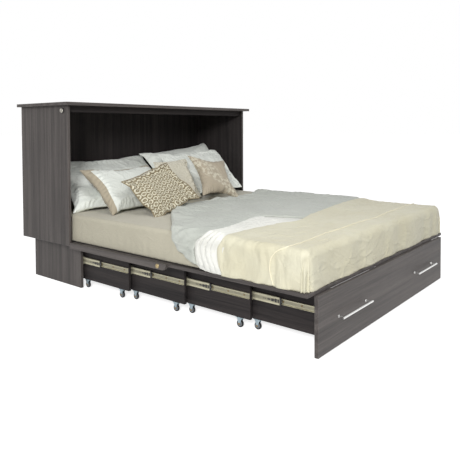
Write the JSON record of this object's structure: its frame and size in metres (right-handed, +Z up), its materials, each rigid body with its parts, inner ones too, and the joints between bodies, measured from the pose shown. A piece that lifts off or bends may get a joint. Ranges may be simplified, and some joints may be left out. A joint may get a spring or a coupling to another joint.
{
  "type": "cabinet bed",
  "caption": "Cabinet bed with a telescoping drawer base on ball-bearing slides and casters, a folding front panel and leaf, a mattress and bedding.",
  "frame": {"origin": "on the floor under the middle of the whole open bed", "axes": "+Z up, +Y towards the cabinet's back, +X to the right seen from the foot"},
  "size_m": [1.66, 2.117, 1.078],
  "materials": {
    "laminate": "satin dark grey-brown wood-grain laminate",
    "laminate_inside": "satin near-black laminate",
    "zinc_steel": "zinc-plated cold-rolled steel",
    "caster_steel": "grey zinc finish",
    "wheel_rubber": "black tread",
    "hinge_steel": "zinc-plated steel",
    "brushed_pull": "brushed nickel",
    "catch_black": "matte black",
    "sheet_cotton": "beige cotton sheet",
    "duvet_cotton": "pale grey-green cotton, white lining",
    "coverlet_sateen": "ivory sateen",
    "pillow_cotton": "white cotton with a taupe band",
    "cushion_ring_weave": "taupe weave with cream rings",
    "cushion_floral_weave": "dusty beige weave with pale blossoms",
    "cushion_plain_weave": "pale textured weave"
  },
  "bodies": {
    "cabinet": {"cabinet_side_left": "laminate", "cabinet_side_right": "laminate", "cabinet_top": "laminate", "cabinet_back": "laminate_inside", "cabinet_floor": "laminate_inside", "top_front_rail": "laminate", "plinth_side_left": "laminate", "plinth_side_right": "laminate", "plinth_back_board": "laminate_inside", "fold_hinge_brackets": "hinge_steel", "catch_plates": "catch_black", "slide_1_outer_members": "zinc_steel", "mattress": "sheet_cotton", "duvet": "duvet_cotton", "coverlet": "coverlet_sateen", "pillow_back_left": "pillow_cotton", "pillow_back_right": "pillow_cotton", "pillow_side_left": "pillow_cotton", "pillow_front_left": "pillow_cotton", "pillow_front_right": "pillow_cotton", "cushion_plain": "cushion_plain_weave", "cushion_patterned": "cushion_ring_weave", "cushion_floral": "cushion_floral_weave"},
    "catch_left": {"catch_knob_left": "brushed_pull"},
    "catch_right": {"catch_knob_right": "brushed_pull"},
    "front_panel": {"front_panel_board": "laminate_inside", "front_panel_rails": "laminate", "fold_hinge_pins": "hinge_steel", "panel_studs": "brushed_pull", "leaf_hinge_panel_plates": "hinge_steel"},
    "leaf": {"leaf_board": "laminate_inside", "leaf_hinge_leaf_plates": "hinge_steel"},
    "section_1": {"section_1_box": "laminate_inside", "slide_1_inner_members": "zinc_steel", "section_1_caster_forks": "caster_steel", "slide_2_outer_members": "zinc_steel"},
    "slide_1_middle": {"slide_1_middle_members": "zinc_steel"},
    "section_1_rear_wheel_pair": {"section_1_rear_wheels": "wheel_rubber"},
    "section_1_front_wheel_pair": {"section_1_front_wheels": "wheel_rubber"},
    "section_2": {"section_2_box": "laminate_inside", "slide_2_inner_members": "zinc_steel", "section_2_caster_forks": "caster_steel", "slide_3_outer_members": "zinc_steel"},
    "slide_2_middle": {"slide_2_middle_members": "zinc_steel"},
    "section_2_rear_wheel_pair": {"section_2_rear_wheels": "wheel_rubber"},
    "section_2_front_wheel_pair": {"section_2_front_wheels": "wheel_rubber"},
    "section_3": {"section_3_box": "laminate_inside", "slide_3_inner_members": "zinc_steel", "section_3_caster_forks": "caster_steel", "slide_4_outer_members": "zinc_steel"},
    "slide_3_middle": {"slide_3_middle_members": "zinc_steel"},
    "section_3_rear_wheel_pair": {"section_3_rear_wheels": "wheel_rubber"},
    "section_3_front_wheel_pair": {"section_3_front_wheels": "wheel_rubber"},
    "section_4": {"section_4_box": "laminate_inside", "slide_4_inner_members": "zinc_steel", "section_4_caster_forks": "caster_steel", "foot_panel": "laminate", "bar_pulls": "brushed_pull"},
    "slide_4_middle": {"slide_4_middle_members": "zinc_steel"},
    "section_4_rear_wheel_pair": {"section_4_rear_wheels": "wheel_rubber"}
  },
  "joints": [
    {"name": "front_panel_fold", "type": "hinge", "parent": "cabinet", "child": "front_panel", "pos_m": [0, 0.5545, 0.268], "axis": [-1, 0, 0], "range_deg": [0, 86], "deforming": ["mattress", "duvet", "coverlet", "pillow_back_left", "pillow_back_right", "pillow_side_left", "pillow_front_left", "pillow_front_right", "cushion_plain", "cushion_patterned", "cushion_floral"]},
    {"name": "leaf_fold", "type": "hinge", "parent": "front_panel", "child": "leaf", "pos_m": [0, -0.2315, 0.27625], "axis": [-1, 0, 0], "range_deg": [0, 180]},
    {"name": "catch_left_turn", "type": "hinge", "parent": "cabinet", "child": "catch_left", "pos_m": [-0.8, 0.6135, 1.031], "axis": [-1, 0, 0], "range_deg": [0, 90]},
    {"name": "catch_right_turn", "type": "hinge", "parent": "cabinet", "child": "catch_right", "pos_m": [0.8, 0.6135, 1.031], "axis": [1, 0, 0], "range_deg": [0, 90]},
    {"name": "section_1_slide", "type": "slide", "parent": "cabinet", "child": "section_1", "axis": [0, 1, 0], "range_m": [0, 0.391]},
    {"name": "slide_1_middle_run", "type": "slide", "parent": "cabinet", "child": "slide_1_middle", "axis": [0, 1, 0], "range_m": [0, 0.1955]},
    {"name": "section_1_rear_wheel_spin", "type": "hinge", "parent": "section_1", "child": "section_1_rear_wheel_pair", "pos_m": [0, 0.5375, 0.018], "axis": [1, 0, 0], "continuous": true},
    {"name": "section_1_front_wheel_spin", "type": "hinge", "parent": "section_1", "child": "section_1_front_wheel_pair", "pos_m": [0, 0.2285, 0.018], "axis": [1, 0, 0], "continuous": true},
    {"name": "section_2_slide", "type": "slide", "parent": "section_1", "child": "section_2", "axis": [0, 1, 0], "range_m": [0, 0.391]},
    {"name": "slide_2_middle_run", "type": "slide", "parent": "section_1", "child": "slide_2_middle", "axis": [0, 1, 0], "range_m": [0, 0.1955]},
    {"name": "section_2_rear_wheel_spin", "type": "hinge", "parent": "section_2", "child": "section_2_rear_wheel_pair", "pos_m": [0, 0.1465, 0.018], "axis": [1, 0, 0], "continuous": true},
    {"name": "section_2_front_wheel_spin", "type": "hinge", "parent": "section_2", "child": "section_2_front_wheel_pair", "pos_m": [0, -0.1625, 0.018], "axis": [1, 0, 0], "continuous": true},
    {"name": "section_3_slide", "type": "slide", "parent": "section_2", "child": "section_3", "axis": [0, 1, 0], "range_m": [0, 0.391]},
    {"name": "slide_3_middle_run", "type": "slide", "parent": "section_2", "child": "slide_3_middle", "axis": [0, 1, 0], "range_m": [0, 0.1955]},
    {"name": "section_3_rear_wheel_spin", "type": "hinge", "parent": "section_3", "child": "section_3_rear_wheel_pair", "pos_m": [0, -0.2445, 0.018], "axis": [1, 0, 0], "continuous": true},
    {"name": "section_3_front_wheel_spin", "type": "hinge", "parent": "section_3", "child": "section_3_front_wheel_pair", "pos_m": [0, -0.5535, 0.018], "axis": [1, 0, 0], "continuous": true},
    {"name": "section_4_slide", "type": "slide", "parent": "section_3", "child": "section_4", "axis": [0, 1, 0], "range_m": [0, 0.391]},
    {"name": "slide_4_middle_run", "type": "slide", "parent": "section_3", "child": "slide_4_middle", "axis": [0, 1, 0], "range_m": [0, 0.1955]},
    {"name": "section_4_rear_wheel_spin", "type": "hinge", "parent": "section_4", "child": "section_4_rear_wheel_pair", "pos_m": [0, -0.6355, 0.018], "axis": [1, 0, 0], "continuous": true}
  ],
  "couplings": [
    {"joint": "slide_1_middle_run", "follows": "section_1_slide", "ratio": 0.5},
    {"joint": "slide_2_middle_run", "follows": "section_2_slide", "ratio": 0.5},
    {"joint": "slide_3_middle_run", "follows": "section_3_slide", "ratio": 0.5},
    {"joint": "slide_4_middle_run", "follows": "section_4_slide", "ratio": 0.5}
  ]
}
